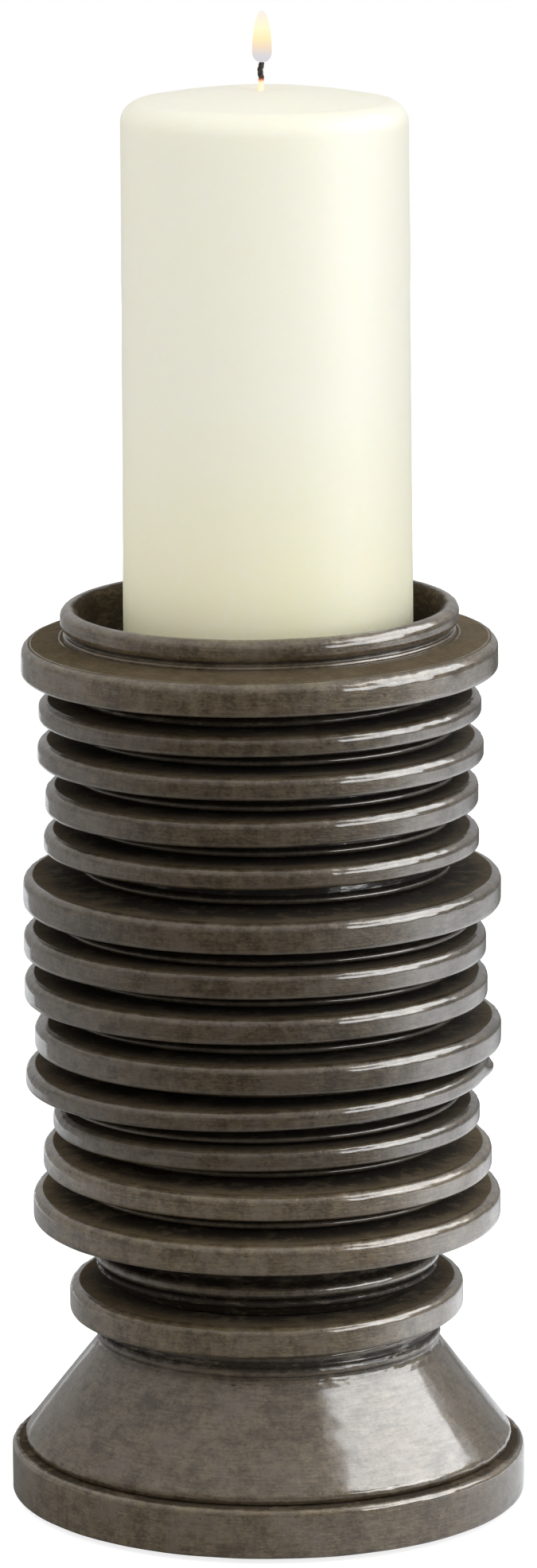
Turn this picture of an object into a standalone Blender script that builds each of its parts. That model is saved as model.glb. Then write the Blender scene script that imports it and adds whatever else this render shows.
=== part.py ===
"""Pillar candlestick: turned rings stacked on a tie rod, with a dish for a pillar candle.

Units are metres, +Z is up, the felt pad rests on z = 0 and the tie rod stands on the Z axis.
The rings were turned by hand: each rim sits a little to one side of its bore and leans,
while the hub round the bore stays true, so that the stack clamps up square on its rod.
Heights inside a piece are above that piece's own foot.
"""
from collections import namedtuple
from math import cos, hypot, pi, radians, sin, tan

import bmesh
import bpy

# Left between pieces that touch
CLEARANCE = 0.0003

# Felt pad under the foot
PAD_RADIUS = 0.0600
PAD_THICKNESS = 0.0012

# Foot plinth
PLINTH_RADIUS = 0.0690
PLINTH_HEIGHT = 0.0132
PLINTH_TOP_ROUND = 0.0022
PLINTH_FOOT_ROUND = 0.0008

# A bead: its greatest radius, the height of its middle and the radius of its section
Bead = namedtuple("Bead", "radius height round")

# Flared base: a cone on a rolled foot, with a neck of two beads above its shoulder
BASE_HEIGHT = 0.0362
BASE_SEAT_RADIUS = 0.0440
BASE_UPPER_BEAD = Bead(0.0460, 0.0342, 0.0014)
BASE_LOWER_BEAD = Bead(0.0466, 0.0306, 0.0016)
BASE_GROOVE_RADIUS = 0.0450
BASE_GROOVE_DROP = 0.0004
BASE_SHOULDER_RADIUS = 0.0464
BASE_SHOULDER_HEIGHT = 0.0277
BASE_SHOULDER_ROUND = 0.0021
BASE_ROLL = Bead(0.0654, 0.0015, 0.0022)
BASE_FOOT_RADIUS = 0.0648
BASE_FLARE_ANGLE = 37.6

# Neck between the lowest two rings: a broad band over a thin bead, under a waist
NECK_HEIGHT = 0.0165
NECK_FOOT_RADIUS = 0.0420
NECK_TOP_RADIUS = 0.0430
NECK_WAIST_RADIUS = 0.0415
NECK_WAIST_HEIGHT = 0.0128
NECK_GROOVE_RADIUS = 0.0440
NECK_BAND = Bead(0.0465, 0.0070, 0.0018)
NECK_BEAD = Bead(0.0458, 0.0039, 0.0009)

# Rings: what they share
HUB_RADIUS = 0.0440
RIM_ROUND = 0.0015
COVE_STEP = 0.0023
BEAD_INSET = 0.0085
BEAD_ROUND = 0.0008
BEAD_LIFT = 0.0011

# Rings from the foot up: radius and thickness of the disc, height of the collar under it,
# sideways shift of the rim, and its lean up to the right and down to the front in degrees
Ring = namedtuple("Ring", "name radius thickness collar shift side_lean front_lean")
RINGS = (
    Ring("ring_01", 0.0528, 0.0082, 0.0, -0.0005, 0.8, 0.4),
    Ring("ring_02", 0.0626, 0.0080, 0.0, -0.0004, 0.3, 0.7),
    Ring("ring_03", 0.0600, 0.0067, 0.0056, -0.0002, 0.0, 0.6),
    Ring("ring_04", 0.0570, 0.0059, 0.0045, -0.0005, 1.0, -0.5),
    Ring("ring_05", 0.0617, 0.0054, 0.0064, -0.0032, 1.5, 0.2),
    Ring("ring_06", 0.0622, 0.0077, 0.0035, -0.0001, 0.5, -0.2),
    Ring("ring_07", 0.0617, 0.0069, 0.0053, -0.0033, 0.4, -0.3),
    Ring("ring_08", 0.0615, 0.0069, 0.0046, -0.0036, 0.1, -0.5),
    Ring("ring_09", 0.0635, 0.0082, 0.0063, -0.0017, 0.4, 0.6),
    Ring("ring_10", 0.0578, 0.0056, 0.0066, -0.0019, 0.5, -0.1),
    Ring("ring_11", 0.0574, 0.0070, 0.0051, -0.0018, 1.0, -0.2),
    Ring("ring_12", 0.0591, 0.0061, 0.0055, -0.0021, 0.6, -0.1),
    Ring("ring_13", 0.0586, 0.0055, 0.0052, -0.0023, 0.9, 0.2),
)

# Slips of the tool: a flat on the left of one rim's top edge, a lump on the right of another
Slip = namedtuple("Slip", "ring facing growth half_width edge")
SLIPS = (
    Slip("ring_06", 180.0, -0.0012, 16.0, "top"),
    Slip("ring_05", 0.0, 0.0016, 12.0, "bottom"),
)

# Top dish: sloping flange with a collar under it, and a rolled lip round the candle's floor
DISH_COLLAR = 0.0062
DISH_BEAD_RADIUS = 0.0500
FLANGE_RADIUS = 0.0630
FLANGE_THICKNESS = 0.0082
FLANGE_RISE = 0.0018
FLOOR_THICKNESS = 0.0040
DISH_WALL_RADIUS = 0.0477
LIP_RADIUS = 0.0527
LIP_RISE = 0.0180
LIP_ROUND = 0.0025
LIP_DEPTH = 0.0012
LIP_COVE_RADIUS = 0.0509
LIP_COVE_HEIGHT = 0.0019
LIP_BEAD_RADIUS = 0.0520
LIP_BEAD_ROUND = 0.0006
DISH_SHIFT = -0.0024
DISH_SIDE_LEAN = 0.9
DISH_FRONT_LEAN = 0.9

# Tie rod and its hardware
ROD_RADIUS = 0.0040
BORE_RADIUS = 0.0046
NUT_ACROSS_FLATS = 0.0130
NUT_THICKNESS = 0.0040
WASHER_RADIUS = 0.0120
WASHER_THICKNESS = 0.0016
ROD_STAND_OUT = 0.0008
POCKET_RADIUS = 0.0130
TOP_POCKET_DEPTH = 0.0076
BASE_POCKET_DEPTH = 0.0084

# Pillar candle and its wick
CANDLE_HEIGHT = 0.1500
CANDLE_FOOT_RADIUS = 0.0383
CANDLE_TOP_RADIUS = 0.0376
CANDLE_SHOULDER = 0.0060
CANDLE_CROWN = 0.0032
CANDLE_FOOT_ROUND = 0.0010
CANDLE_DRIFT = -0.0072
WICK_RADIUS = 0.00075
WICK_FOOT = 0.0030
WICK_STAND_OUT = 0.0066
WICK_SWAY = 0.0006

# Facets of a full turn, and how far a cutter runs past what it cuts
FACETS = 32
HOLE_FACETS = 12
POCKET_FACETS = 16
CUT_PAST = 0.0020


def clear_scene():
    for item in list(bpy.data.objects):
        bpy.data.objects.remove(item, do_unlink=True)


def new_collection(name):
    collection = bpy.data.collections.new(name)
    bpy.context.scene.collection.children.link(collection)
    return collection


def new_material(name, colour, roughness, metallic=0.0):
    material = bpy.data.materials.new(name)
    material.use_nodes = True
    shader = material.node_tree.nodes["Principled BSDF"]
    shader.inputs["Base Color"].default_value = (*colour, 1.0)
    shader.inputs["Roughness"].default_value = roughness
    shader.inputs["Metallic"].default_value = metallic
    material.diffuse_color = (*colour, 1.0)
    return material


def arc(radius, height, round_radius, start, end, steps):
    """Points of an arc round a point of the turning plane, between two angles in degrees."""
    angles = [radians(start + (end - start) * i / steps) for i in range(steps + 1)]
    return [(radius + round_radius * cos(a), height + round_radius * sin(a)) for a in angles]


def bead_outline(bead, start=60, end=-60, steps=2):
    return arc(bead.radius - bead.round, bead.height, bead.round, start, end, steps)


def rim_outline(radius, top, underside):
    """The rounded edge of a disc, from its top face to its underside."""
    upper = arc(radius - RIM_ROUND, top - RIM_ROUND, RIM_ROUND, 90, 0, 2)
    lower = arc(radius - RIM_ROUND, underside + RIM_ROUND, RIM_ROUND, 0, -90, 2)
    return upper + lower


def collar_outline(bead_radius, collar):
    """The cove under a disc, the bead at its foot and the narrower seat under the bead."""
    bead = Bead(bead_radius, BEAD_LIFT + BEAD_ROUND, BEAD_ROUND)
    return [(HUB_RADIUS + COVE_STEP, collar)] + bead_outline(bead) + [(HUB_RADIUS, 0.0)]


def turn(name, outline):
    """Turns an outline about Z, from the middle of the top, down the outside, to the middle."""
    line = bpy.data.meshes.new(name + "_outline")
    points = [(radius, 0.0, height) for radius, height in outline]
    line.from_pydata(points, [(i, i + 1) for i in range(len(points) - 1)], [])
    guide = bpy.data.objects.new(name + "_outline", line)
    cutters.objects.link(guide)
    screw = guide.modifiers.new("turn", "SCREW")
    screw.axis = "Z"
    screw.angle = 2 * pi
    screw.steps = screw.render_steps = FACETS
    screw.use_merge_vertices = True
    screw.merge_threshold = 0.00001
    bpy.context.view_layer.update()
    turned = guide.evaluated_get(bpy.context.evaluated_depsgraph_get())
    mesh = bpy.data.meshes.new_from_object(turned)
    mesh.name = name
    bpy.data.objects.remove(guide)
    bpy.data.meshes.remove(line)
    return mesh


def cylinder(name, radius, length, facets):
    """A cylinder that stands on its origin."""
    work = bmesh.new()
    bmesh.ops.create_cone(
        work, cap_ends=True, segments=facets, radius1=radius, radius2=radius, depth=length
    )
    bmesh.ops.translate(work, verts=work.verts, vec=(0.0, 0.0, length / 2))
    mesh = bpy.data.meshes.new(name)
    work.to_mesh(mesh)
    work.free()
    return mesh


def add_piece(name, mesh, foot, material):
    """Stands a mesh in the candlestick, with its foot at a height above the floor."""
    piece = bpy.data.objects.new(name, mesh)
    piece.location.z = foot
    mesh.materials.clear()
    mesh.materials.append(material)
    mesh.shade_smooth()
    mesh.set_sharp_from_angle(angle=radians(40))
    candlestick.objects.link(piece)
    return piece


def add_cutter(name, radius, foot, length, facets):
    cutter = bpy.data.objects.new(name, cylinder(name, radius, length, facets))
    cutter.location.z = foot
    cutter.hide_render = True
    cutter.display_type = "WIRE"
    cutters.objects.link(cutter)
    return cutter


def cut(piece, cutter):
    boolean = piece.modifiers.new(cutter.name, "BOOLEAN")
    boolean.operation = "DIFFERENCE"
    boolean.solver = "EXACT"
    boolean.object = cutter


def set_rim_off_true(mesh, rim, shift, side_lean, front_lean):
    """Shifts and leans all that lies outside the hub, blending from the hub to the rim."""
    for vertex in mesh.vertices:
        x, y, _ = vertex.co
        reach = min(max((hypot(x, y) - HUB_RADIUS) / (rim - HUB_RADIUS), 0.0), 1.0)
        share = reach * reach * (3.0 - 2.0 * reach)
        vertex.co.x += share * shift
        vertex.co.z += share * (x * tan(radians(side_lean)) + y * tan(radians(front_lean)))


def slip_of_the_tool(mesh, ring, slip):
    """Cuts back or swells one edge of a ring's rim, fading out to both sides."""
    middle = ring.collar + ring.thickness / 2
    facing = radians(slip.facing)
    fade = 1.0 - cos(radians(slip.half_width))
    for vertex in mesh.vertices:
        x, y, z = vertex.co
        reach = hypot(x, y)
        on_edge = (z > middle) == (slip.edge == "top") and reach > ring.radius - RIM_ROUND
        if on_edge:
            along = (x * cos(facing) + y * sin(facing)) / reach
            growth = slip.growth * max(1.0 - (1.0 - along) / fade, 0.0)
            vertex.co.x += growth * x / reach
            vertex.co.y += growth * y / reach


def ring_mesh(ring):
    """One turned ring: a disc with rounded edges and, where it has one, the collar under it."""
    top = ring.collar + ring.thickness
    outline = [(0.0, top), (HUB_RADIUS, top)] + rim_outline(ring.radius, top, ring.collar)
    if ring.collar:
        outline += collar_outline(ring.radius - BEAD_INSET, ring.collar)
    else:
        outline += [(HUB_RADIUS, 0.0)]
    mesh = turn(ring.name, outline + [(0.0, 0.0)])
    for slip in SLIPS:
        if slip.ring == ring.name:
            slip_of_the_tool(mesh, ring, slip)
    rim = ring.radius - RIM_ROUND
    set_rim_off_true(mesh, rim, ring.shift, ring.side_lean, ring.front_lean)
    return mesh


def plinth_mesh():
    top_edge = Bead(PLINTH_RADIUS, PLINTH_HEIGHT - PLINTH_TOP_ROUND, PLINTH_TOP_ROUND)
    foot_edge = Bead(PLINTH_RADIUS, PLINTH_FOOT_ROUND, PLINTH_FOOT_ROUND)
    outline = [(0.0, PLINTH_HEIGHT)] + bead_outline(top_edge, 90, 0)
    outline += bead_outline(foot_edge, 0, -90, 1) + [(0.0, 0.0)]
    return turn("foot_plinth", outline)


def base_mesh():
    """The flared base: two beads and their grooves, shoulder, straight flare and rolled foot."""
    outline = [(0.0, BASE_HEIGHT), (BASE_SEAT_RADIUS, BASE_HEIGHT)]
    for bead in (BASE_UPPER_BEAD, BASE_LOWER_BEAD):
        outline += bead_outline(bead)
        outline += [(BASE_GROOVE_RADIUS, bead.height - bead.round - BASE_GROOVE_DROP)]
    outline += arc(
        BASE_SHOULDER_RADIUS + BASE_SHOULDER_ROUND, BASE_SHOULDER_HEIGHT, BASE_SHOULDER_ROUND,
        180, 180 + BASE_FLARE_ANGLE, 1,
    )
    outline += bead_outline(BASE_ROLL, BASE_FLARE_ANGLE, -43)[:-1]
    outline += [(BASE_FOOT_RADIUS, 0.0), (0.0, 0.0)]
    return turn("flared_base", outline)


def neck_mesh():
    """The neck: a waist over a broad rounded band, a groove and a thin bead over the seat."""
    outline = [(0.0, NECK_HEIGHT), (NECK_TOP_RADIUS, NECK_HEIGHT)]
    outline += [(NECK_WAIST_RADIUS, NECK_WAIST_HEIGHT)]
    outline += bead_outline(NECK_BAND, 80, -60)
    outline += [(NECK_GROOVE_RADIUS, (NECK_BAND.height + NECK_BEAD.height) / 2)]
    outline += bead_outline(NECK_BEAD) + [(NECK_FOOT_RADIUS, 0.0), (0.0, 0.0)]
    return turn("neck", outline)


def dish_mesh():
    """The top dish: floor, wall, rolled lip, cove and bead, sloping flange and its collar."""
    floor = DISH_COLLAR + FLOOR_THICKNESS
    flange_top = DISH_COLLAR + FLANGE_THICKNESS
    lip_foot = flange_top + FLANGE_RISE
    lip = Bead(LIP_RADIUS, DISH_COLLAR + LIP_RISE - LIP_ROUND, LIP_ROUND)
    lip_underside = lip._replace(height=lip.height - LIP_DEPTH)
    lip_bead = Bead(LIP_BEAD_RADIUS, lip_foot + LIP_BEAD_ROUND, LIP_BEAD_ROUND)
    outline = [(0.0, floor), (HUB_RADIUS, floor), (DISH_WALL_RADIUS, floor + RIM_ROUND)]
    outline += bead_outline(lip, 180, 0, 4) + bead_outline(lip_underside, 0, -45, 1)
    outline += [(LIP_COVE_RADIUS, lip_foot + LIP_COVE_HEIGHT)]
    outline += bead_outline(lip_bead, 90, -45) + rim_outline(FLANGE_RADIUS, flange_top, DISH_COLLAR)
    outline += collar_outline(DISH_BEAD_RADIUS, DISH_COLLAR) + [(0.0, 0.0)]
    mesh = turn("top_dish", outline)
    set_rim_off_true(mesh, DISH_WALL_RADIUS, DISH_SHIFT, DISH_SIDE_LEAN, DISH_FRONT_LEAN)
    return mesh


def candle_mesh():
    """The candle: drafted side and a crowned top with a soft shoulder, drifting off upright."""
    crown = CANDLE_TOP_RADIUS - CANDLE_SHOULDER
    outline = [(crown * i / 3, CANDLE_HEIGHT - CANDLE_CROWN * (i / 3) ** 2) for i in range(3)]
    crown_edge = CANDLE_HEIGHT - CANDLE_CROWN
    outline += arc(crown, crown_edge - CANDLE_SHOULDER, CANDLE_SHOULDER, 90, 0, 3)
    outline += [(CANDLE_FOOT_RADIUS, CANDLE_FOOT_ROUND)]
    outline += [(CANDLE_FOOT_RADIUS - CANDLE_FOOT_ROUND, 0.0), (0.0, 0.0)]
    mesh = turn("pillar_candle", outline)
    for vertex in mesh.vertices:
        vertex.co.x += CANDLE_DRIFT * vertex.co.z
    return mesh


def wick_curve():
    """The braided wick: straight inside the candle, in a slight bend where it stands out."""
    curve = bpy.data.curves.new("candle_wick", "CURVE")
    curve.dimensions = "3D"
    curve.bevel_depth = WICK_RADIUS
    curve.bevel_resolution = 2
    curve.use_fill_caps = True
    steps = 6
    heights = [WICK_FOOT]
    heights += [CANDLE_HEIGHT + WICK_STAND_OUT * i / steps for i in range(steps + 1)]
    route = curve.splines.new("POLY")
    route.points.add(len(heights) - 1)
    for point, height in zip(route.points, heights):
        above = max(height - CANDLE_HEIGHT, 0.0) / WICK_STAND_OUT
        bend = WICK_SWAY * (sin(2 * pi * above) - above)
        point.co = (CANDLE_DRIFT * height + bend, 0.0, height, 1.0)
    return curve


clear_scene()
candlestick = new_collection("pillar_candlestick")
cutters = new_collection("cutters")

pewter = new_material("waxed_pewter_wood", (0.125, 0.103, 0.080), 0.36, 0.55)
steel = new_material("zinc_plated_steel", (0.55, 0.55, 0.53), 0.35, 1.0)
felt = new_material("black_felt", (0.020, 0.019, 0.018), 0.95)
wax = new_material("ivory_wax", (0.86, 0.82, 0.62), 0.45)
cotton = new_material("charred_cotton", (0.035, 0.026, 0.022), 0.90)

# Heights of the stack, worked out from the foot up
plinth_foot = PAD_THICKNESS + CLEARANCE
base_foot = plinth_foot + PLINTH_HEIGHT + CLEARANCE
stack_top = base_foot + BASE_HEIGHT
ring_feet = {}
for ring in RINGS:
    ring_feet[ring.name] = stack_top + CLEARANCE
    stack_top = ring_feet[ring.name] + ring.collar + ring.thickness
    if ring.name == "ring_01":
        neck_foot = stack_top + CLEARANCE
        stack_top = neck_foot + NECK_HEIGHT
dish_foot = stack_top + CLEARANCE
dish_floor = dish_foot + DISH_COLLAR + FLOOR_THICKNESS
candle_foot = dish_floor + CLEARANCE

# The bores and the pockets for the nuts, all in line on the tie rod
base_pocket = plinth_foot + BASE_POCKET_DEPTH
top_pocket = dish_floor - TOP_POCKET_DEPTH
bore_length = dish_floor + 2 * CUT_PAST
rod_bore = add_cutter("rod_bore", BORE_RADIUS, -CUT_PAST, bore_length, HOLE_FACETS)
nut_bore = add_cutter("nut_bore", ROD_RADIUS + CLEARANCE, -CUT_PAST, bore_length, HOLE_FACETS)
base_recess = add_cutter(
    "base_recess", POCKET_RADIUS, plinth_foot - CUT_PAST, BASE_POCKET_DEPTH + CUT_PAST, POCKET_FACETS
)
top_recess = add_cutter(
    "top_recess", POCKET_RADIUS, top_pocket, TOP_POCKET_DEPTH + CUT_PAST, POCKET_FACETS
)

# Foot
add_piece("felt_pad", cylinder("felt_pad", PAD_RADIUS, PAD_THICKNESS, FACETS), 0.0, felt)
plinth = add_piece("foot_plinth", plinth_mesh(), plinth_foot, pewter)
cut(plinth, base_recess)
cut(plinth, rod_bore)
cut(add_piece("flared_base", base_mesh(), base_foot, pewter), rod_bore)

# Stack of rings, with the neck above the lowest, and the dish on top
for ring in RINGS:
    cut(add_piece(ring.name, ring_mesh(ring), ring_feet[ring.name], pewter), rod_bore)
cut(add_piece("neck", neck_mesh(), neck_foot, pewter), rod_bore)
dish = add_piece("top_dish", dish_mesh(), dish_foot, pewter)
cut(dish, top_recess)
cut(dish, rod_bore)

# Tie rod, with a washer and a nut against the web of each pocket
base_washer = base_pocket - CLEARANCE - WASHER_THICKNESS
base_nut = base_washer - CLEARANCE - NUT_THICKNESS
top_washer = top_pocket + CLEARANCE
top_nut = top_washer + WASHER_THICKNESS + CLEARANCE
rod_foot = base_nut - ROD_STAND_OUT
rod_length = top_nut + NUT_THICKNESS + ROD_STAND_OUT - rod_foot
add_piece("tie_rod", cylinder("tie_rod", ROD_RADIUS, rod_length, HOLE_FACETS), rod_foot, steel)
for name, foot in (("base_washer", base_washer), ("top_washer", top_washer)):
    washer = cylinder(name, WASHER_RADIUS, WASHER_THICKNESS, POCKET_FACETS)
    cut(add_piece(name, washer, foot, steel), rod_bore)
for name, foot in (("base_nut", base_nut), ("top_nut", top_nut)):
    nut = cylinder(name, NUT_ACROSS_FLATS / 2 / cos(pi / 6), NUT_THICKNESS, 6)
    cut(add_piece(name, nut, foot, steel), nut_bore)

# Candle and its wick, which lift out of the dish together
candle = add_piece("pillar_candle", candle_mesh(), candle_foot, wax)
wick_hole = add_cutter(
    "wick_hole", WICK_RADIUS + CLEARANCE, candle_foot - CUT_PAST, CANDLE_HEIGHT + 2 * CUT_PAST, 8
)
wick_hole.rotation_euler.y = CANDLE_DRIFT
cut(candle, wick_hole)
wick = bpy.data.objects.new("candle_wick", wick_curve())
wick.location.z = candle_foot
wick.data.materials.append(cotton)
candlestick.objects.link(wick)
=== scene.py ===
"""The pillar candlestick dressed for its photograph: turned rings, candle, wick and flame."""

from collections import namedtuple
from math import acos, atan2, cos, degrees, hypot, pi, radians, sin, tan

import bmesh
import bpy
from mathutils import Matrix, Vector, noise


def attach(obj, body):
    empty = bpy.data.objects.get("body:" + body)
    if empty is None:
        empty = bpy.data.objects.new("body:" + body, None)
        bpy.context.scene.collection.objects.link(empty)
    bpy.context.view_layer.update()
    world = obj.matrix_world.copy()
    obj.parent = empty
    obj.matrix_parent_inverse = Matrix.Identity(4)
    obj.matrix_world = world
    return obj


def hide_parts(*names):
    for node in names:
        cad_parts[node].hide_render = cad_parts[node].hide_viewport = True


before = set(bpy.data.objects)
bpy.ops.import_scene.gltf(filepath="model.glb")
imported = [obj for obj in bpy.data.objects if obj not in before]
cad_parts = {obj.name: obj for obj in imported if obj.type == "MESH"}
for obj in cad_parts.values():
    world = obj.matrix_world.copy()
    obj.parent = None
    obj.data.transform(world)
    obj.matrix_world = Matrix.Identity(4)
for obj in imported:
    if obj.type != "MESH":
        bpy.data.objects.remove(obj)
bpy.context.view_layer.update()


# The felt pad: a disc of pressed black wool felt, glued under the plinth so that the foot
# doesn't scratch the table. Its cut edge is soft and a little uneven. The fibres show as
# fine fuzz, with paler lint caught here and there.

class Wire:
    """A socket of a material. Arithmetic on it adds Math nodes to the same material."""

    def __init__(self, socket):
        self.socket = socket

    def math(self, operation, *operands):
        """Adds a Math node with these operands, wires or numbers."""
        node = self.socket.id_data.nodes.new("ShaderNodeMath")
        node.operation = operation
        for entry, operand in zip(node.inputs, operands):
            plug_in(entry, operand)
        return Wire(node.outputs[0])

    def __add__(self, other):
        return self.math("ADD", self, other)

    def __sub__(self, other):
        return self.math("SUBTRACT", self, other)

    def __rsub__(self, other):
        return self.math("SUBTRACT", other, self)

    def __mul__(self, other):
        return self.math("MULTIPLY", self, other)

    def __pow__(self, other):
        return self.math("POWER", self, other)

    __radd__ = __add__
    __rmul__ = __mul__

    def positive(self):
        """The value, or 0 where it would be less."""
        return self.math("MAXIMUM", self, 0.0)


def plug_in(entry, value):
    """Links a wire to a socket, or sets the socket to a number, a colour or a vector."""
    if isinstance(value, Wire):
        entry.id_data.links.new(value.socket, entry)
    elif entry.type == "RGBA" and len(value) == 3:
        entry.default_value = (*value, 1.0)
    else:
        entry.default_value = value


class Finish:
    """A material in the making, with its Principled shader."""

    def __init__(self, name):
        self.material = bpy.data.materials.new(name)
        self.material.use_nodes = True
        self.nodes = self.material.node_tree.nodes
        self.shader = self.nodes["Principled BSDF"]
        self.place = self.add("TexCoord", output="Object")

    def add(self, kind, settings=None, inputs=None, output=0):
        """Adds a node: its type, its settings, then its sockets, and returns one output."""
        node = self.nodes.new("ShaderNode" + kind)
        for name, value in (settings or {}).items():
            if name == "stops":
                self.set_stops(node.color_ramp, value)
            else:
                setattr(node, name, value)
        for name, value in (inputs or {}).items():
            plug_in(node.inputs[name], value)
        return Wire(node.outputs[output])

    def set_stops(self, ramp, stops):
        """Gives a colour ramp its stops, each a position and a colour."""
        while len(ramp.elements) < len(stops):
            ramp.elements.new(1.0)
        for element, (position, colour) in zip(ramp.elements, stops):
            element.position = position
            element.color = (*colour, 1.0)

    def grain(self, place, scale, detail=3.0, stretch=(1.0, 1.0, 1.0), roughness=0.55):
        """A noise in the piece's own metres. A large stretch on an axis packs it tighter there."""
        place = self.add("Mapping", {}, {"Vector": place, "Scale": stretch})
        return self.add(
            "TexNoise", {}, {"Vector": place, "Scale": scale, "Detail": detail, "Roughness": roughness}
        )

    def between(self, value, low, high, start=0.0, end=1.0):
        """Carries a value from low..high to start..end, held at both ends."""
        return self.add(
            "MapRange", {"clamp": True},
            {"Value": value, "From Min": low, "From Max": high, "To Min": start, "To Max": end},
        )

    def axis(self, name, vector=None):
        """The X, Y or Z of a vector, or else of the place on the piece."""
        return self.add("SeparateXYZ", {}, {0: vector or self.place}, name)

    def kept(self, name):
        """What the mesh keeps under this name."""
        return self.add("Attribute", {"attribute_name": name}, output="Fac")

    def mix(self, share, first, second):
        """Goes from the first colour to the second."""
        return self.add("Mix", {"data_type": "RGBA"}, {0: share, 6: first, 7: second}, 2)

    def bump(self, height, distance, strength=1.0, under=None):
        """The normal of a relief, laid over the one under it."""
        inputs = {"Height": height, "Distance": distance, "Strength": strength}
        if under:
            inputs["Normal"] = under
        return self.add("Bump", {}, inputs)

    def set(self, **values):
        """Sets sockets of the Principled shader, named with underscores for spaces."""
        for name, value in values.items():
            plug_in(self.shader.inputs[name.replace("_", " ")], value)
        return self.material


def set_down(name, corners, faces):
    """Makes a mesh of corners and faces, and puts it in the scene."""
    mesh = bpy.data.meshes.new(name)
    mesh.from_pydata(corners, [], faces)
    mesh.shade_smooth()
    piece = bpy.data.objects.new(name, mesh)
    bpy.context.scene.collection.objects.link(piece)
    return piece


def wear(piece, material):
    """Gives a piece this material and no other."""
    piece.data.materials.clear()
    piece.data.materials.append(material)


def unit(x, z):
    """The same direction, one long."""
    length = hypot(x, z)
    return x / length, z / length


def eased(corners, step=18.0):
    """A closed outline of (radius, height, easing) corners, each rounded to its easing.

    A rounding gets a point about every step degrees.
    """
    points = []
    for i, (r, z, easing) in enumerate(corners):
        before, after = corners[i - 1], corners[(i + 1) % len(corners)]
        to_before = unit(before[0] - r, before[1] - z)
        to_after = unit(after[0] - r, after[1] - z)
        corner = acos(max(-1.0, min(1.0, to_before[0] * to_after[0] + to_before[1] * to_after[1])))
        if easing == 0.0 or pi - corner < 0.02:
            points.append((r, z))
            continue
        reach = easing / tan(corner / 2)
        middle = unit(to_before[0] + to_after[0], to_before[1] + to_after[1])
        centre = (r + middle[0] * easing / sin(corner / 2), z + middle[1] * easing / sin(corner / 2))
        start = atan2(z + to_before[1] * reach - centre[1], r + to_before[0] * reach - centre[0])
        end = atan2(z + to_after[1] * reach - centre[1], r + to_after[0] * reach - centre[0])
        sweep = (end - start + pi) % (2 * pi) - pi
        count = max(2, round(abs(degrees(sweep)) / step))
        for k in range(count + 1):
            angle = start + sweep * k / count
            points.append((centre[0] + easing * cos(angle), centre[1] + easing * sin(angle)))
    return points


def spaced(points, nearest_axis, longest=0.0016, margin=0.0003):
    """Puts extra points along the outline outside a radius, close to each end of a straight."""
    filled = []
    for i, (r, z) in enumerate(points):
        filled.append((r, z))
        to_r, to_z = points[(i + 1) % len(points)]
        length = hypot(to_r - r, to_z - z)
        if length > 2.5 * margin and max(r, to_r) > nearest_axis:
            count = max(1, round((length - 2 * margin) / longest))
            shares = [margin / length + (1 - 2 * margin / length) * k / count for k in range(count + 1)]
            filled += [(r + (to_r - r) * share, z + (to_z - z) * share) for share in shares]
    return filled


# True up to the hub, and shifted and leaning by the full amount from the reach on.
Rim = namedtuple("Rim", "hub reach shift side_lean front_lean", defaults=(0.0, 0.0, 0.0))
TURNS = 320
WORN_REACH = 0.0022


def left_dull(outline, j):
    """True where a face is flat and looks up, or looks in at the axis: nobody polished there."""
    (r0, z0), (r1, z1), (r2, z2) = outline[j - 1], outline[j], outline[(j + 1) % len(outline)]
    before, after = unit(r1 - r0, z1 - z0), unit(r2 - r1, z2 - z1)
    flat = min(before[0], after[0]) > 0.95 and abs(before[1] - after[1]) < 0.05
    return flat or min(before[1], after[1]) > 0.15


def no_shade(r, z):
    """No painted shade anywhere."""
    return 0.0


def ramp(share):
    """Eases a share from 0 to 1, and holds it there beyond both ends."""
    share = min(max(share, 0.0), 1.0)
    return share * share * (3.0 - 2.0 * share)


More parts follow.
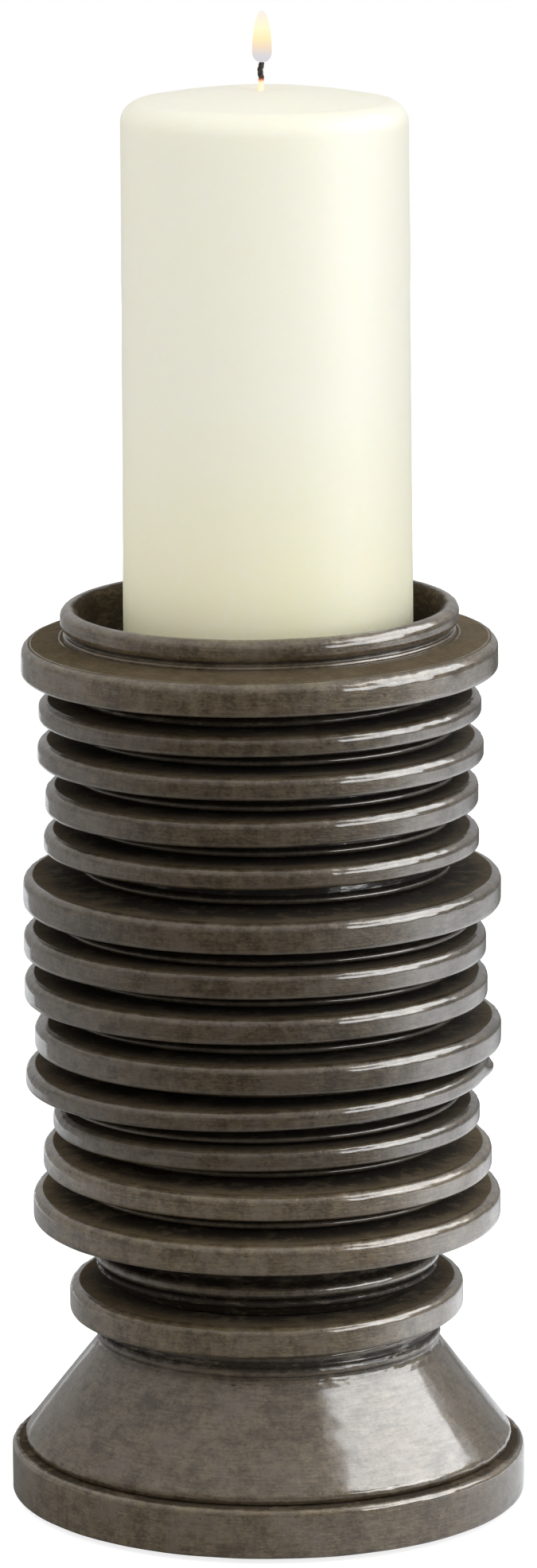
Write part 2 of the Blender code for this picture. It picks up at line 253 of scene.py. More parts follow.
def turned(
    name, outline, foot, rim, lot,
    edges=(), unevenness=0.00007, slips=(), shade_at=no_shade, tint=1.0,
):
    """A turned piece standing at a height: the outline carried round Z, off true outside the hub.

    Each lot has its own unevenness and grain. The mesh keeps how near an edge each point is,
    how well it is polished, how much painted shade it takes and how much its paint colour is scaled.
    """
    corners, worn = [], []
    rows = len(outline)
    polish = [0.0 if left_dull(outline, j) else 1.0 for j in range(rows)]
    bare = [shade_at(r, z) for r, z in outline]
    for i in range(TURNS):
        angle = 2 * pi * i / TURNS
        for r, z in outline:
            near = max([1.0 - hypot(r - edge[0], z - edge[1]) / WORN_REACH for edge in edges] + [0.0])
            spot = Vector((r * cos(angle), r * sin(angle), z + foot)) + Vector((lot, -lot, 0.0))
            swell = noise.noise(spot * 70.0) + 0.5 * noise.noise(spot * 230.0)
            swell += 1.8 * near * noise.noise(spot * 430.0)
            for slip in slips:
                swell += slip(angle, z) / unevenness
            share = ramp((r - rim.hub) / (rim.reach - rim.hub))
            out = r + unevenness * swell * share
            x, y = out * cos(angle), out * sin(angle)
            lift = x * tan(radians(rim.side_lean)) + y * tan(radians(rim.front_lean))
            wave = unevenness * 0.7 * noise.noise(spot * 90.0 + Vector((5.0, 0.0, 0.0)))
            wave += unevenness * 1.4 * near * noise.noise(spot * 380.0 + Vector((0.0, 9.0, 0.0)))
            corners.append((x + share * rim.shift, y, foot + z + share * (lift + wave)))
            worn.append(near)
    faces = []
    for i in range(TURNS):
        here, there = i * rows, (i + 1) % TURNS * rows
        for j in range(rows):
            k = (j + 1) % rows
            faces.append((here + j, here + k, there + k, there + j))
    piece = set_down(name, corners, faces)
    mesh = piece.data
    kept = {"worn": worn, "lot": [lot] * len(corners), "polish": polish * TURNS}
    kept.update({"bare": bare * TURNS, "tint": [tint] * len(corners)})
    for attribute, values in kept.items():
        mesh.attributes.new(attribute, "FLOAT", "POINT").data.foreach_set("value", values)
    if outline[0][0] == 0.0:
        work = bmesh.new()
        work.from_mesh(mesh)
        bmesh.ops.remove_doubles(work, verts=work.verts, dist=1e-6)
        work.to_mesh(mesh)
        work.free()
    return piece


def fit(piece, node, body, material):
    """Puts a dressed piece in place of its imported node."""
    wear(piece, material)
    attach(piece, body)
    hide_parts(node)


felt = Finish("black_felt")
fuzz = felt.grain(felt.place, 900.0, 4.0)
lint = felt.between(felt.grain(felt.place, 260.0, 2.0, (1.0, 1.0, 3.0)), 0.62, 0.75)
wool = felt.mix(fuzz, (0.010, 0.009, 0.009), (0.034, 0.032, 0.030))
felt.set(
    Base_Color=felt.mix(lint, wool, (0.12, 0.11, 0.10)),
    Roughness=felt.between(fuzz, 0.3, 0.7, 0.88, 1.0),
    Normal=felt.bump(fuzz, 0.0003),
    Sheen_Weight=0.4,
)

PAD_RADIUS = 0.0600
PAD_THICKNESS = 0.0012

pad_outline = eased([
    (0.0, PAD_THICKNESS, 0.0),
    (PAD_RADIUS, PAD_THICKNESS, 0.0004),
    (PAD_RADIUS, 0.0, 0.0003),
    (0.0, 0.0, 0.0),
])
pad = turned("pad", spaced(pad_outline, 0.055), 0.0, Rim(0.050, 0.058), 0.12, unevenness=0.00009)
for vertex in pad.data.vertices:
    vertex.co.z = max(vertex.co.z, 0.0)
fit(pad, "felt_pad", "holder", felt.material)


# The foot plinth: a hardwood disc turned on a lathe, painted a dark pewter brown over
# dark ground, rubbed back while soft so that the edges and high spots show paler, and
# waxed. The rod's nut sits in a pocket under it, behind the felt.

pewter = Finish("waxed_pewter_wood")
lot = pewter.kept("lot")
worn = pewter.kept("worn")
polish = pewter.kept("polish")
tint = pewter.kept("tint")
cut_from = pewter.add("CombineXYZ", {}, {"X": lot, "Y": lot * -1.0})
spot = pewter.add("VectorMath", {"operation": "ADD"}, {0: pewter.place, 1: cut_from})
cloud = pewter.grain(spot, 75.0, 4.0)
mottle = pewter.grain(spot, 260.0, 5.0, (1.0, 1.0, 1.3), 0.62)
speck = pewter.grain(spot, 1100.0, 3.0)
tool_lines = pewter.grain(spot, 22.0, 4.0, (1.0, 1.0, 55.0), 0.7)
brush = pewter.grain(spot, 150.0, 4.0, (1.0, 1.0, 16.0), 0.65)
shade_breakup = pewter.grain(spot, 190.0, 5.0, (1.0, 1.0, 4.5), 0.68) + (cloud - 0.5) * 0.5
# Painted shade: the mesh marks coves, recesses, the wall inside the lip and the tops under the rings, and
# patches of noise leave some of it lighter.
bare = pewter.kept("bare") * pewter.between(shade_breakup, 0.52, 0.60, 1.0, 0.35)
fleck = pewter.grain(spot, 850.0, 4.0, (1.0, 1.0, 1.8))
ticks = pewter.grain(spot, 520.0, 3.0, (1.0, 1.0, 0.3))
blotches = cloud * 0.24 + mottle * 0.24 + fleck * 0.22 + brush * 0.18 + ticks * 0.12
tone = pewter.between(blotches, 0.435, 0.565)
paint = pewter.mix(tone, (0.056, 0.039, 0.021), (0.142, 0.105, 0.061))
paint = pewter.mix(pewter.between(cloud, 0.52, 0.62, 0.0, 0.4), paint, (0.105, 0.085, 0.070))
rubbed = pewter.between(worn * 0.5 + (mottle - 0.5) * 1.6, 0.2, 0.8, 0.0, 0.6)
paint = pewter.mix(rubbed, paint, (0.165, 0.128, 0.074))
paint = pewter.mix(pewter.between(speck, 0.63, 0.75, 0.0, 0.35), paint, (0.19, 0.165, 0.125))
paint = pewter.mix(pewter.between(speck, 0.37, 0.27, 0.0, 0.7), paint, (0.012, 0.008, 0.005))
paint = pewter.mix(pewter.between(polish, 0.0, 1.0, 0.55, 0.0), paint, (0.100, 0.072, 0.034))
# Painted shade: the paint goes to near black where the mesh marks shade.
paint = pewter.mix(bare * 0.85, paint, (0.014, 0.010, 0.007))
paint = pewter.add("VectorMath", {"operation": "SCALE"}, {0: paint, "Scale": tint})
relief = pewter.bump(pewter.grain(spot, 330.0, 5.0, (1.0, 1.0, 2.4), 0.6), 0.00040, 0.7)
relief = pewter.bump(tool_lines, 0.00014, 0.7, relief)
chips = pewter.grain(spot, 800.0, 3.0) * (worn * 2.0 + bare * 2.0 + 0.5)
relief = pewter.bump(chips, 0.00014, 0.8, relief)
relief = pewter.bump(brush * 0.6 + speck * 0.4, 0.00008, 0.8, relief)
wax_coat = polish * (0.9 + (mottle - 0.5) * 0.5 + (brush - 0.5) * 0.6) * (1.0 - bare * 0.9)
pewter.set(
    Base_Color=paint,
    Metallic=0.2,
    Roughness=pewter.between(polish, 0.0, 1.0, 0.95, 0.42) + (mottle - 0.5) * 0.2 + bare * 0.3,
    Specular_IOR_Level=0.25,
    Coat_Weight=wax_coat,
    Coat_Roughness=0.11,
    Coat_IOR=1.75,
    Normal=relief,
)

PAD_TOP = 0.0015
PLINTH_RADIUS = 0.0690
PLINTH_HEIGHT = 0.0132
PLINTH_ROUND = 0.0016
POCKET_RADIUS = 0.0130
POCKET_DEPTH = 0.0084
BORE = 0.0046
PLINTH_WORN = 0.0005

plinth_outline = spaced(eased([
    (BORE, PLINTH_HEIGHT, 0.0),
    (PLINTH_RADIUS, PLINTH_HEIGHT, PLINTH_ROUND),
    (PLINTH_RADIUS, 0.0, 0.0008),
    (POCKET_RADIUS, 0.0, 0.0003),
    (POCKET_RADIUS, POCKET_DEPTH, 0.0),
    (BORE, POCKET_DEPTH, 0.0),
], 15.0), 0.060)


def shade_on_plinth(r, z):
    """Painted shade on the ledge round the base, in the crevice under the base's rolled foot."""
    return 0.85 if r > 0.0600 and z > PLINTH_HEIGHT - 0.0001 else 0.0


plinth = turned(
    "plinth", plinth_outline, PAD_TOP, Rim(0.050, 0.060), 0.31,
    edges=[(PLINTH_RADIUS - PLINTH_WORN, PLINTH_HEIGHT - PLINTH_WORN)], unevenness=0.00010,
    shade_at=shade_on_plinth, tint=1.25,
)
fit(plinth, "foot_plinth", "holder", pewter.material)


# The flared base: one turned block with a rolled foot, a straight flare, a sharp shoulder
# and two beads with grooves between them under its seat. It has the same paint and wax,
# and its broad flare shows the wax's gloss best.

def bead(radius, height, round_radius, start, end, step=15.0):
    """Points down a bead's section, between two angles in degrees."""
    count = max(2, round(abs(end - start) / step))
    angles = [radians(start + (end - start) * i / count) for i in range(count + 1)]
    middle = radius - round_radius
    return [(middle + round_radius * cos(a), height + round_radius * sin(a)) for a in angles]


BASE_FOOT = 0.0150
BASE_HEIGHT = 0.0362
FLARE_ANGLE = 37.6
BASE_CRESTS = (0.0341, 0.0302)
SHOULDER_HEIGHT = 0.0262

base_outline = [(BORE, BASE_HEIGHT), (0.0432, BASE_HEIGHT), (0.0442, BASE_HEIGHT - 0.0003)]
base_outline += [(0.0450, 0.0354), (0.0455, 0.0348), (0.0457, 0.0341), (0.0456, 0.0333), (0.0453, 0.0326)]
base_outline += [(0.0454, 0.0320), (0.0459, 0.0314), (0.0462, 0.0305), (0.0461, 0.0296), (0.0457, 0.0289)]
base_outline += [(0.0457, 0.0283), (0.0460, 0.0275), (0.0465, 0.0268), (0.0472, 0.0257)]
base_outline += bead(0.0654, 0.0015, 0.0022, FLARE_ANGLE, -48, 9.0)
base_outline += [(0.0640, 0.0), (BORE, 0.0)]


def shade_on_base(r, z):
    """Painted shade above the shoulder, deepening up under the lowest ring, but lighter on the crests of
    the two beads.
    """
    from_crest = min(abs(z - crest) for crest in BASE_CRESTS) / 0.0012
    above_shoulder = min(max((z - SHOULDER_HEIGHT) / 0.0045, 0.0), 1.0)
    return 0.9 * above_shoulder * min(from_crest + 0.2, 1.0)


base = turned(
    "base", spaced(base_outline, 0.0445), BASE_FOOT, Rim(0.0425, 0.0445), 0.77,
    edges=[(0.0457, 0.0341), (0.0462, 0.0302), (0.0464, 0.0275), (0.0651, 0.0020)],
    unevenness=0.00014, shade_at=shade_on_base,
)
fit(base, "flared_base", "holder", pewter.material)


# The rings: thirteen hardwood discs with eased edges, each turned in one piece with the
# coved collar and the thin bead under it. They were turned by eye, so that no rim is
# quite true to its bore: each has its own shift, and its own leans in degrees.

Ring = namedtuple("Ring", "foot radius thickness collar shift side_lean front_lean")
HUB = 0.0440
TOP_ROUND = 0.0023
FOOT_ROUND = 0.0013
RINGS = {
    "ring_01": Ring(0.0515, 0.0528, 0.0082, 0.0, -0.0005, 0.8, 0.4),
    "ring_02": Ring(0.0768, 0.0626, 0.0080, 0.0, -0.0004, 0.3, 0.7),
    "ring_03": Ring(0.0851, 0.0600, 0.0067, 0.0056, -0.0002, 0.0, 0.6),
    "ring_04": Ring(0.0977, 0.0570, 0.0059, 0.0045, -0.0005, 1.0, -0.5),
    "ring_05": Ring(0.1084, 0.0617, 0.0054, 0.0064, -0.0032, 1.5, 0.2),
    "ring_06": Ring(0.1205, 0.0622, 0.0077, 0.0035, -0.0001, 0.5, -0.2),
    "ring_07": Ring(0.1320, 0.0617, 0.0069, 0.0053, -0.0033, 0.4, -0.3),
    "ring_08": Ring(0.1445, 0.0615, 0.0069, 0.0046, -0.0036, 0.1, -0.5),
    "ring_09": Ring(0.1563, 0.0635, 0.0082, 0.0063, -0.0017, 0.4, 0.6),
    "ring_10": Ring(0.1711, 0.0578, 0.0056, 0.0066, -0.0019, 0.5, -0.1),
    "ring_11": Ring(0.1836, 0.0574, 0.0070, 0.0051, -0.0018, 1.0, -0.2),
    "ring_12": Ring(0.1960, 0.0591, 0.0061, 0.0055, -0.0021, 0.6, -0.1),
    "ring_13": Ring(0.2079, 0.0586, 0.0055, 0.0052, -0.0023, 0.9, 0.2),
}
BEAD_INSET = 0.0085
BEAD_ROUND = 0.0008
BEAD_HEIGHT = 0.0019
COVE = 0.0463
CREST_REACH = 0.0010
RING_WORN = 0.0007
SHADE_INSET = 0.0022
SHADE_FADE = 0.0060
# The paint colour is scaled up on the lowest rings and down on those above.
LIGHT_RINGS = 3
LIGHT_TINT = 1.2
DARK_TINT = 0.73


def collar(disc_radius, bead_radius, height):
    """The cove under a disc, the bead at its foot and the seat."""
    lowest = BEAD_HEIGHT + BEAD_ROUND
    points = [(disc_radius - 0.0035, height), (COVE + 0.0022, height), (COVE + 0.0006, height - 0.0004)]
    points += [(COVE, height * 0.62 + lowest * 0.38), (COVE + 0.0003, lowest + 0.0003)]
    points += bead(bead_radius, BEAD_HEIGHT, BEAD_ROUND, 70, -70, 20.0)
    return points + [(HUB + 0.0012, 0.0008), (HUB + 0.0001, 0.0)]


def hollow(top, crests):
    """Painted shade in a hollow: below a height, but not on crests."""
    def share(r, z):
        away = min([abs(z - crest) for crest in crests] + [CREST_REACH]) / CREST_REACH
        return away if z < top else 0.0
    return share


def shade_on_ring(radius, top, collar_height):
    """Painted shade in the collar's cove, and on the top face more and more towards the core, under the
    piece above.
    """
    cove = hollow(collar_height - 0.0003, [BEAD_HEIGHT])
    def share(r, z):
        if z > top - 0.0001:
            return 0.95 * min(max((radius - SHADE_INSET - r) / SHADE_FADE, 0.0), 1.0)
        return cove(r, z)
    return share


def nick(facing, depth, half_width, low, high):
    """A slip of the tool on the rim: grows or cuts a stretch of it between two heights."""
    def slip(angle, z):
        away = abs((angle - radians(facing) + pi) % (2 * pi) - pi) / radians(half_width)
        return depth * max(1.0 - away ** 2, 0.0) ** 2 * ramp((z - low) / (high - low))
    return slip


SLIPS = {
    "ring_06": [nick(180.0, -0.0013, 16.0, 0.0085, 0.0105)],
    "ring_05": [nick(0.0, 0.0016, 12.0, 0.0102, 0.0080)],
}

for number, (name, ring) in enumerate(RINGS.items()):
    top = ring.collar + ring.thickness
    rim = [(ring.radius, top, TOP_ROUND), (ring.radius, ring.collar, FOOT_ROUND)]
    disc = eased([(BORE, top, 0.0)] + rim + [(BORE, ring.collar, 0.0)], 15.0)
    if ring.collar:
        outline = disc[:-1] + collar(ring.radius, ring.radius - BEAD_INSET, ring.collar) + [(BORE, 0.0)]
    else:
        outline = disc
    off_true = Rim(HUB, ring.radius - 0.0015, ring.shift, ring.side_lean, ring.front_lean)
    piece = turned(
        name + "_turned", spaced(outline, HUB + 0.001), ring.foot, off_true, 1.0 + 0.37 * number,
        edges=[(ring.radius - RING_WORN, top - RING_WORN)], unevenness=0.00010,
        slips=SLIPS.get(name, ()), shade_at=shade_on_ring(ring.radius, top, ring.collar),
        tint=LIGHT_TINT if number < LIGHT_RINGS else DARK_TINT,
    )
    fit(piece, name, "holder", pewter.material)


# The neck: a turned spool between the lowest two rings, with a waist over a broad rounded
# band, a groove, and a thin bead above its seat.

NECK_FOOT = 0.0600
NECK_HEIGHT = 0.0165

neck_outline = [(BORE, NECK_HEIGHT), (0.0428, NECK_HEIGHT), (0.0430, NECK_HEIGHT - 0.0004)]
neck_outline += [(0.0420, 0.0149), (0.0415, 0.0128), (0.0418, 0.0104), (0.0428, 0.0093)]
neck_outline += bead(0.0465, 0.0070, 0.0018, 78, -62) + [(0.0441, 0.0051), (0.0440, 0.0049)]
neck_outline += bead(0.0458, 0.0039, 0.0009, 70, -70, 18.0) + [(0.0436, 0.0022), (0.0421, 0.0004)]
neck_outline += [(0.0418, 0.0), (BORE, 0.0)]
# Painted shade darkens the whole spool between the rings, all but the crest of its broad band.
neck = turned(
    "neck_turned", spaced(neck_outline, 0.0414), NECK_FOOT, Rim(0.0380, 0.0410, -0.0004), 7.3,
    edges=[(0.0463, 0.0075)], shade_at=hollow(NECK_HEIGHT + 0.0005, [0.0070, 0.0076]),
)
fit(neck, "neck", "holder", pewter.material)


# The top dish: a thick disc with a sloping flange, a bead and a rolled lip round the
# candle's floor, and the same collar under it as the rings. A washer and nut sit in a
# pocket in the floor, under the candle.

DISH_FOOT = 0.2189
DISH_COLLAR = 0.0062
FLANGE_RADIUS = 0.0630
FLANGE_TOP = 0.0144
FLOOR = 0.0102
WALL_RADIUS = 0.0477
LIP_RADIUS = 0.0527
LIP_ROUND = 0.0025
TOP_POCKET = 0.0026

dish_outline = [(BORE, TOP_POCKET), (POCKET_RADIUS, TOP_POCKET), (POCKET_RADIUS, FLOOR - 0.0003)]
dish_outline += [(POCKET_RADIUS + 0.0003, FLOOR), (HUB, FLOOR), (0.0463, FLOOR + 0.0002)]
dish_outline += [(0.0473, FLOOR + 0.0008), (WALL_RADIUS, FLOOR + 0.0020)]
dish_outline += bead(LIP_RADIUS, 0.0217, LIP_ROUND, 180, 0)
dish_outline += bead(LIP_RADIUS, 0.0205, LIP_ROUND, -8, -50)
dish_outline += [(0.0510, 0.0181), (0.0509, 0.0177), (0.0510, 0.0174)]
dish_outline += bead(0.0520, 0.0168, 0.0006, 80, -60, 20.0)
rim = [(FLANGE_RADIUS, FLANGE_TOP + 0.0001, 0.0028), (FLANGE_RADIUS, DISH_COLLAR, FOOT_ROUND)]
flange = eased([(0.0530, FLANGE_TOP + 0.0018, 0.0)] + rim + [(0.0500, DISH_COLLAR, 0.0)], 15.0)
dish_outline += flange[:-1] + collar(FLANGE_RADIUS, 0.0500, DISH_COLLAR) + [(BORE, 0.0)]


def shade_on_dish(r, z):
    """Painted shade in the collar's cove, on the wall inside the lip, which the candle shades, and in the
    groove under the lip.
    """
    inside = 0.75 if r < 0.0500 and z < 0.0243 else 0.0
    groove = 0.75 if r > 0.0500 and 0.0175 < z < 0.0188 else 0.0
    return max(hollow(DISH_COLLAR - 0.0003, [BEAD_HEIGHT])(r, z), inside, groove)


dish = turned(
    "dish_turned", spaced(dish_outline, HUB + 0.001), DISH_FOOT,
    Rim(HUB, WALL_RADIUS, -0.0024, 0.9, 0.9), 9.1,
    edges=[(0.0624, 0.0139), (0.0520, 0.0235)], unevenness=0.00011, shade_at=shade_on_dish,
)
fit(dish, "top_dish", "holder", pewter.material)


# The tie rod, nuts and washers: zinc-plated steel, hidden in the bores and pockets. They
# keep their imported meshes. The plating is a fine spangle with a faint yellow cast.

zinc = Finish("zinc_plated_steel")
spangle = zinc.add("TexVoronoi", {"feature": "F1"}, {"Vector": zinc.place, "Scale": 900.0}, "Distance")
dulling = zinc.grain(zinc.place, 160.0, 4.0)
plating = zinc.mix(spangle, (0.42, 0.42, 0.41), (0.66, 0.65, 0.60))
zinc.set(
    Base_Color=zinc.mix(dulling, plating, (0.52, 0.50, 0.42)),
    Metallic=1.0,
    Roughness=zinc.between(dulling, 0.3, 0.7, 0.26, 0.48),
    Normal=zinc.bump(spangle, 0.00005, 0.4),
)
for name in ("tie_rod", "base_nut", "base_washer", "top_nut", "top_washer"):
    wear(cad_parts[name], zinc.material)


# The candle: ivory paraffin, moulded with a little draft and a crowned top with a soft
# shoulder. It stands loose in the dish and leans slightly. Burning has just begun to
# dish the crown round the wick.

CANDLE_FOOT = 0.2294
CANDLE_HEIGHT = 0.1500
CANDLE_TOP_RADIUS = 0.0376
CANDLE_FOOT_RADIUS = 0.0383
SHOULDER = 0.0060
CROWN = 0.0032
DRIFT = -0.0072
WICK_MIDDLE = -0.0020
MELT_RADIUS = 0.0085
MELT_DEPTH = 0.0009
CROWN_STEPS = 30
SIDE_STEPS = 20

crown_radius = CANDLE_TOP_RADIUS - SHOULDER
candle_outline = []
for i in range(CROWN_STEPS + 1):
    share = i / CROWN_STEPS
    candle_outline.append((crown_radius * share, CANDLE_HEIGHT - CROWN * share ** 2))
side = CANDLE_HEIGHT - CROWN - SHOULDER
candle_outline += bead(CANDLE_TOP_RADIUS, side, SHOULDER, 84, 0, 7.0)
draft = CANDLE_FOOT_RADIUS - CANDLE_TOP_RADIUS
for i in range(1, SIDE_STEPS - 1):
    share = i / SIDE_STEPS
    candle_outline.append((CANDLE_TOP_RADIUS + draft * share, side * (1 - share)))
candle_outline.append((CANDLE_FOOT_RADIUS, 0.0012))
candle_outline += [(CANDLE_FOOT_RADIUS - 0.0003, 0.0004), (CANDLE_FOOT_RADIUS - 0.0010, 0.0), (0.0, 0.0)]
candle = turned("candle", candle_outline, CANDLE_FOOT, Rim(0.002, 0.030), 4.0, unevenness=0.00012)
for vertex in candle.data.vertices:
    y, z = vertex.co.yz
    vertex.co.x += DRIFT * (z - CANDLE_FOOT)
    if z > CANDLE_FOOT + side:
        vertex.co.z -= MELT_DEPTH * ramp(1.0 - hypot(vertex.co.x - WICK_MIDDLE, y) / MELT_RADIUS)

wax = Finish("ivory_wax")
height = wax.axis("Z")
haze = wax.grain(wax.place, 26.0, 3.0, (1.0, 1.0, 0.35))
bloom = wax.grain(wax.place, 420.0, 4.0)
ivory = wax.mix(wax.between(height, 0.238, 0.30), (0.92, 0.875, 0.58), (0.925, 0.90, 0.755))
ivory = wax.mix(wax.between(haze, 0.35, 0.65, 0.0, 0.4), ivory, (0.91, 0.87, 0.72))
ivory = wax.mix(wax.between(bloom, 0.55, 0.75, 0.0, 0.25), ivory, (0.95, 0.94, 0.88))
ripple = wax.grain(wax.place, 120.0, 3.0, (1.0, 1.0, 0.5))
wax.set(
    Base_Color=ivory,
    Roughness=wax.between(bloom, 0.3, 0.7, 0.42, 0.58),
    Normal=wax.bump(ripple, 0.0003, 0.25),
    Specular_IOR_Level=0.45,
    Subsurface_Weight=0.3,
    Subsurface_Radius=(1.0, 0.75, 0.45),
    Subsurface_Scale=0.005,
)
fit(candle, "pillar_candle", "candle", wax.material)


# The wick: three cotton strands twisted together, burnt black where they stand in the
# flame, with a glowing ring and waxed pale cotton below it. The pale cotton has a painted
# glow, for the flame's light on it.

WICK_TOP = 0.3860
WICK_LENGTH = 0.0066
STRAND_RADIUS = 0.00046
STRAND_OFFSET = 0.00032
WICK_SWAY = (-0.00206, -0.00196, -0.00183, -0.00204, -0.00218, -0.00196, -0.00165)
TWISTS = 1.6
WICK_STEPS = 40
BURIED_STEPS = 12


def wick_route(share):
    """The middle of the standing wick, from the wax (0) to its tip (1)."""
    last = len(WICK_SWAY) - 1
    step = min(max(share, 0.0) * last, last - 0.001)
    start, end = WICK_SWAY[int(step)], WICK_SWAY[int(step) + 1]
    x = start + (end - start) * ramp(step % 1.0)
    return Vector((x, 0.0, WICK_TOP - WICK_LENGTH * (1.0 - share)))


def tube(name, routes, radius, sides=10):
    """Round strands along routes of points, tapered and closed at both ends, as one mesh."""
    corners, faces = [], []
    for route in routes:
        start = len(corners)
        for i, point in enumerate(route):
            ahead = (route[min(i + 1, len(route) - 1)] - route[max(i - 1, 0)]).normalized()
            across = ahead.cross(Vector((0.0, 1.0, 0.0))).normalized()
            over = ahead.cross(across)
            size = radius * (0.35 if i in (0, len(route) - 1) else 1.0)
            for k in range(sides):
                turn = 2 * pi * k / sides
                corners.append(point + (across * cos(turn) + over * sin(turn)) * size)
        for i in range(len(route) - 1):
            for k in range(sides):
                a, b = start + i * sides + k, start + i * sides + (k + 1) % sides
                faces.append((a, a + sides, b + sides, b))
        faces.append(tuple(start + k for k in range(sides)))
        last = start + (len(route) - 1) * sides
        faces.append(tuple(last + k for k in reversed(range(sides))))
    return set_down(name, corners, faces)


strands = []
for strand in range(3):
    route = []
    for i in range(-BURIED_STEPS, WICK_STEPS + 1):
        share = i / WICK_STEPS
        turn = 2 * pi * (strand / 3 + share * TWISTS)
        spread = STRAND_OFFSET * (1.0 if share < 0.9 else 1.0 - (share - 0.9) * 5.0)
        route.append(wick_route(share) + Vector((cos(turn), sin(turn), 0.0)) * spread)
    strands.append(route)
wick = tube("wick", strands, STRAND_RADIUS)
cotton = Finish("charred_cotton")
up = cotton.axis("Z")
fibre = cotton.grain(cotton.place, 2600.0, 3.0, (1.0, 1.0, 0.4))
burnt = cotton.between(up + (fibre - 0.5) * 0.0007, WICK_TOP - 0.0052, WICK_TOP - 0.0044)
ember = cotton.between(up, WICK_TOP - 0.0056, WICK_TOP - 0.0050)
ember = ember * cotton.between(up, WICK_TOP - 0.0040, WICK_TOP - 0.0046)
# Painted glow: the pale cotton below the char glows a dull orange for the flame's light.
painted_flame_glow = cotton.mix(burnt, (0.34, 0.22, 0.12), (0.0, 0.0, 0.0))
char = cotton.mix(cotton.between(fibre, 0.35, 0.65), (0.012, 0.008, 0.006), (0.060, 0.040, 0.030))
cotton.set(
    Base_Color=cotton.mix(burnt, (0.92, 0.74, 0.55), char),
    Roughness=cotton.between(fibre, 0.3, 0.7, 0.75, 0.95),
    Normal=cotton.bump(fibre, 0.0001, 0.8),
    Emission_Color=cotton.mix(ember, painted_flame_glow, (0.55, 0.10, 0.03)),
    Emission_Strength=1.0,
)
fit(wick, "candle_wick", "candle", cotton.material)


# The flame: burning wax vapour, a slender teardrop over the tip of the wick, clear and
# faintly blue-grey round the wick and pale yellow above.

FLAME_FOOT = 0.3858
FLAME_HEIGHT = 0.0136
FLAME_RADIUS = 0.0025
FLAME_MIDDLE = -0.0017
FLAME_WIDEST = 0.20
FLAME_STEPS = 32
FLAME_SIDES = 32

# Half an ellipse up to the widest place, and a taller half above it.
corners, faces = [], []
for i in range(FLAME_STEPS + 1):
    share = i / FLAME_STEPS
    end = 0.0 if share < FLAME_WIDEST else 1.0
    size = (1.0 - ((share - FLAME_WIDEST) / (end - FLAME_WIDEST)) ** 2) ** 0.5
    reach = size * FLAME_RADIUS + 0.00004
    for k in range(FLAME_SIDES):
        angle = 2 * pi * k / FLAME_SIDES
        x, y = FLAME_MIDDLE + reach * cos(angle), reach * sin(angle)
        corners.append((x, y, FLAME_FOOT + FLAME_HEIGHT * share))
for i in range(FLAME_STEPS):
    here, there = i * FLAME_SIDES, (i + 1) * FLAME_SIDES
    for k in range(FLAME_SIDES):
        after = (k + 1) % FLAME_SIDES
        faces.append((here + k, here + after, there + after, there + k))
faces.append(tuple(reversed(range(FLAME_SIDES))))
faces.append(tuple(range(len(corners) - FLAME_SIDES, len(corners))))
flame = set_down("flame", corners, faces)
glow = Finish("burning_vapour")
rise = glow.between(glow.axis("Z"), FLAME_FOOT, FLAME_FOOT + FLAME_HEIGHT)
flicker = glow.grain(glow.place, 260.0, 2.0, (1.0, 1.0, 0.3))
colour = glow.add("ValToRGB", {"stops": (
    (0.0, (0.68, 0.67, 0.70)),
    (0.14, (0.72, 0.70, 0.72)),
    (0.30, (0.94, 0.76, 0.58)),
    (0.46, (1.0, 0.88, 0.52)),
    (0.66, (0.99, 0.99, 0.66)),
    (1.0, (0.98, 0.88, 0.82)),
)}, {"Fac": rise + (flicker - 0.5) * 0.08})
glow.set(
    Base_Color=(0.0, 0.0, 0.0),
    Roughness=1.0,
    Specular_IOR_Level=0.0,
    Emission_Color=colour,
    Emission_Strength=1.0,
    Alpha=glow.between(rise, 0.0, 0.16, 0.75, 1.0),
)
wear(flame, glow.material)
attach(flame, "candle")


# The studio: a white paper table, which ends close by on the left so that the rims mirror
# a darker room there, and a white backdrop. Two softboxes on the right and one in front
# light the object, three lamps show only in its gloss, and a reflector fills the left.

table_edge = [(-0.4, -0.4), (0.1, -0.4), (0.5, -1.0), (1.4, -1.0), (1.4, 2.5), (-0.4, 2.5)]
table = set_down("table", [(x, y, 0.0) for x, y in table_edge], [tuple(range(len(table_edge)))])
paper = Finish("white_paper")


def light_path(nodes):
    """1 where the camera looks straight at it, and 1 where it shows in a mirror or glass."""
    rays = nodes.new("ShaderNodeLightPath").outputs
    seen = Wire(rays["Is Camera Ray"])
    return seen, seen.math("MAXIMUM", Wire(rays["Is Glossy Ray"]), Wire(rays["Is Transmission Ray"]))


# To the camera the paper is plain white. In the gloss it is dark, but glows with a painted
# pool of light on the right, a fainter one on the left, and round the right of the foot.
seen, mirrored = light_path(paper.nodes)
outward = paper.add("VectorMath", {"operation": "NORMALIZE"}, {0: paper.place})
outward_x, outward_y = (paper.axis(name, outward) for name in "XY")
distance = paper.add("VectorMath", {"operation": "LENGTH"}, {0: paper.place}, "Value")
pool = paper.add(
    "MapRange", {"interpolation_type": "SMOOTHSTEP"},
    {"Value": outward_x + outward_y * 0.28 - distance * 0.20, "From Min": 0.42, "From Max": 0.92},
)
pool_strength = paper.between(outward_x, 0.93, 0.99, 1.45, 2.3)
left_pool = paper.between(outward_y * 0.45 - outward_x * 0.9, 0.30, 0.88, 0.0, 1.15)
left_pool = left_pool * paper.between(distance, 0.3, 0.6, 0.2, 1.0)
near = paper.between(distance, 0.09, 0.20, 1.0, 0.0)
round_foot = paper.between(outward_x, -0.3, 1.0, 0.05, 0.85)
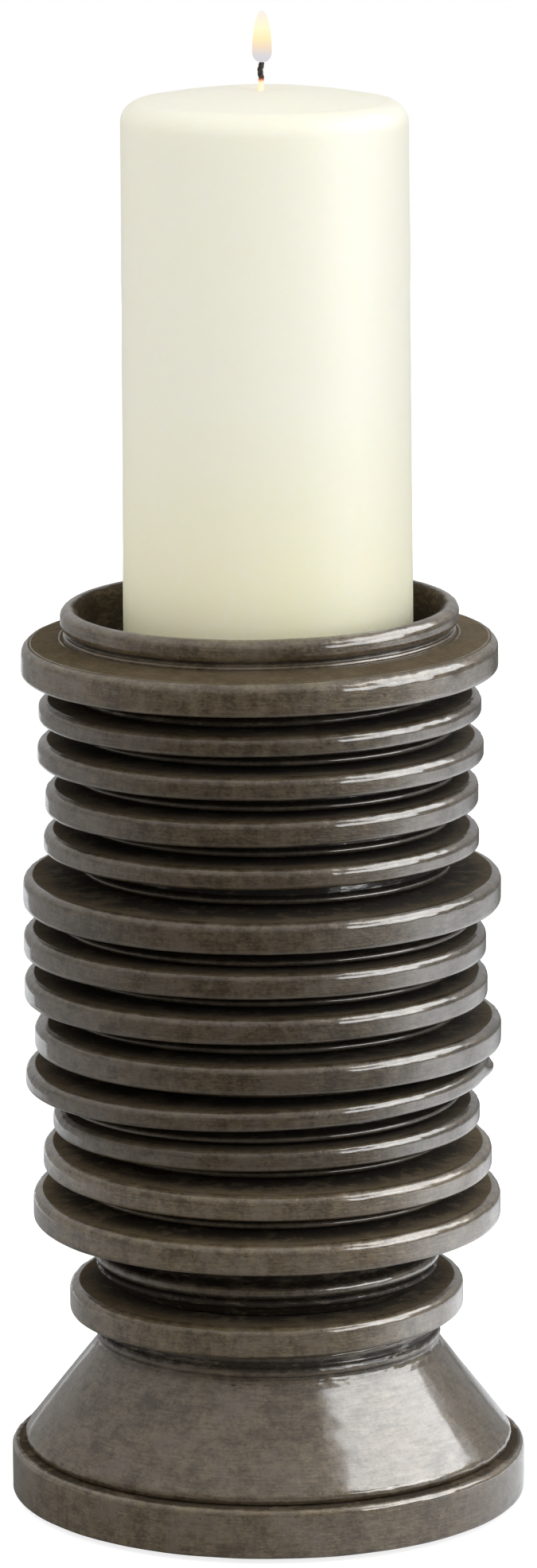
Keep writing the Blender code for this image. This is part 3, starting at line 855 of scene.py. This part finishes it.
glow_there = near * round_foot + (1.0 - near) * (pool * pool_strength + left_pool)
paper.set(
    Base_Color=paper.mix(mirrored, (0.48, 0.48, 0.48), (0.20, 0.20, 0.195)),
    Roughness=1.0,
    Specular_IOR_Level=0.0,
    Emission_Color=paper.mix(mirrored, (1.0, 1.0, 1.0), (0.93, 0.96, 1.0)),
    Emission_Strength=seen * 0.80 + mirrored * glow_there,
)
wear(table, paper.material)

# To the camera the backdrop is plain white too. It lights the object softly, most from
# behind. In the gloss the room is dark in front and brighter behind and above, with a lit
# wall low on the left.
world = bpy.data.worlds.new("studio")
bpy.context.scene.world = world
world.use_nodes = True
sky = world.node_tree
background = sky.nodes["Background"]
background.inputs["Color"].default_value = (1.0, 1.0, 1.0, 1.0)
direction = sky.nodes.new("ShaderNodeSeparateXYZ")
sky.links.new(sky.nodes.new("ShaderNodeTexCoord").outputs["Generated"], direction.inputs[0])
to_x, to_y, to_z = (Wire(output) for output in direction.outputs)
seen, mirrored = light_path(sky.nodes)
behind = to_y * 0.5 + 0.5
dim = behind * 0.40 + 0.54
above = to_z.positive()
low = (1.0 - above * 4.0).positive()
left_wall = (to_x * -1.0).positive() ** 4.0 * behind * low * 0.70
bright = behind * 0.16 + behind ** 8.0 * 0.20 + above * 0.60 + left_wall + 0.05
strength = seen + (1 - seen) * (mirrored * bright + (1 - mirrored) * dim)
plug_in(background.inputs["Strength"], strength)


def softbox(name, place, aim_height, width, height, radiance, colour, gloss=False):
    """A rectangular lamp that faces the object. It either lights it or shows in its gloss."""
    lamp = bpy.data.lights.new(name, "AREA")
    lamp.shape = "RECTANGLE"
    lamp.size, lamp.size_y = width, height
    lamp.energy = radiance * pi * width * height
    lamp.color = colour
    holder = bpy.data.objects.new(name, lamp)
    holder.location = place
    towards = Vector((0.0, 0.0, aim_height)) - Vector(place)
    holder.rotation_euler = towards.to_track_quat("-Z", "Y").to_euler()
    holder.visible_camera = False
    holder.visible_diffuse, holder.visible_glossy = not gloss, gloss
    bpy.context.scene.collection.objects.link(holder)


BLUISH = (0.92, 0.955, 1.0)
PALE = (0.96, 0.98, 1.0)
softbox("key", (0.72, -0.66, 0.52), 0.22, 1.10, 0.70, 0.85, BLUISH)
softbox("high", (0.77, -0.54, 0.95), 0.22, 0.90, 0.60, 1.80, BLUISH)
softbox("fill", (-0.35, -1.00, 0.95), 0.22, 1.00, 0.80, 1.15, (1.0, 1.0, 0.99))
softbox("key_sheen", (0.694, 0.0, 0.68), 0.10, 0.88, 0.62, 4.5, PALE, gloss=True)
softbox("halo", (0.735, 0.03, 0.72), 0.10, 1.18, 0.80, 0.9, PALE, gloss=True)
softbox("low_sheen", (0.785, -0.383, 0.32), 0.12, 0.80, 0.30, 6.5, PALE, gloss=True)
softbox("reflector", (-0.75, 0.10, 0.70), 0.10, 1.20, 0.70, 0.50, (0.97, 0.97, 1.0))


# The camera: it stands about two metres off in front, with a long lens, and looks down a
# little. Its focal length in pixels of the photograph comes from the discs' outlines.

FOCAL_PIXELS = 9200.0
PHOTO_HEIGHT = 1972
EYE_PLACE = (0.0, -1.9025, 0.5780)
LOOK_DOWN = 11.4
eye = bpy.data.cameras.new("eye")
eye.sensor_width = 36.0
eye.lens = FOCAL_PIXELS / PHOTO_HEIGHT * eye.sensor_width
camera = bpy.data.objects.new("eye", eye)
camera.location = EYE_PLACE
camera.rotation_euler = (radians(90.0 - LOOK_DOWN), 0.0, 0.0)
bpy.context.scene.collection.objects.link(camera)
bpy.context.scene.camera = camera
bpy.context.scene.view_settings.view_transform = "Standard"
